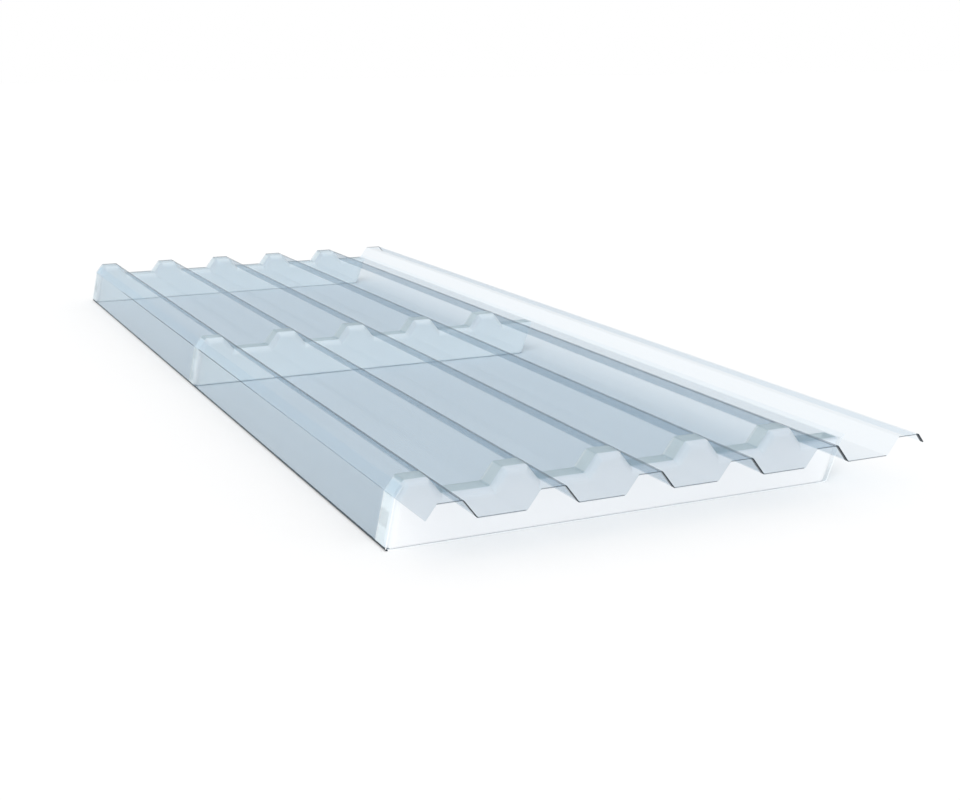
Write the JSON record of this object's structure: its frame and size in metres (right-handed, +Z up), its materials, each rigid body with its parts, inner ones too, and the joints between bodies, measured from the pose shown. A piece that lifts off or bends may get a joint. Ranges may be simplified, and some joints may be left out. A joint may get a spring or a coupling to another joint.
{
  "type": "insulated skylight panel",
  "caption": "Clear box rooflight panel: a folded trapezoidal outer sheet bonded over a shallow liner tray, with profiled closures that shut the air space between them",
  "frame": {"origin": "middle of the overall width and length, on the underside of the tray", "axes": "+X across the ribs towards the side lap rib, +Y along the ribs away from the overhanging end lap, +Z up"},
  "size_m": [1.1046, 3, 0.127],
  "materials": {
    "clear_outer_sheet": "clear, faintly blue, smooth and glossy",
    "clear_liner_tray": "clear, faintly blue, smooth and glossy",
    "clear_closure": "clear, pale, smooth, slightly hazy where it is formed"
  },
  "bodies": {
    "root": {"outer_sheet": "clear_outer_sheet", "liner_tray": "clear_liner_tray", "near_closure": "clear_closure", "middle_closure": "clear_closure", "far_closure": "clear_closure"}
  },
  "joints": []
}
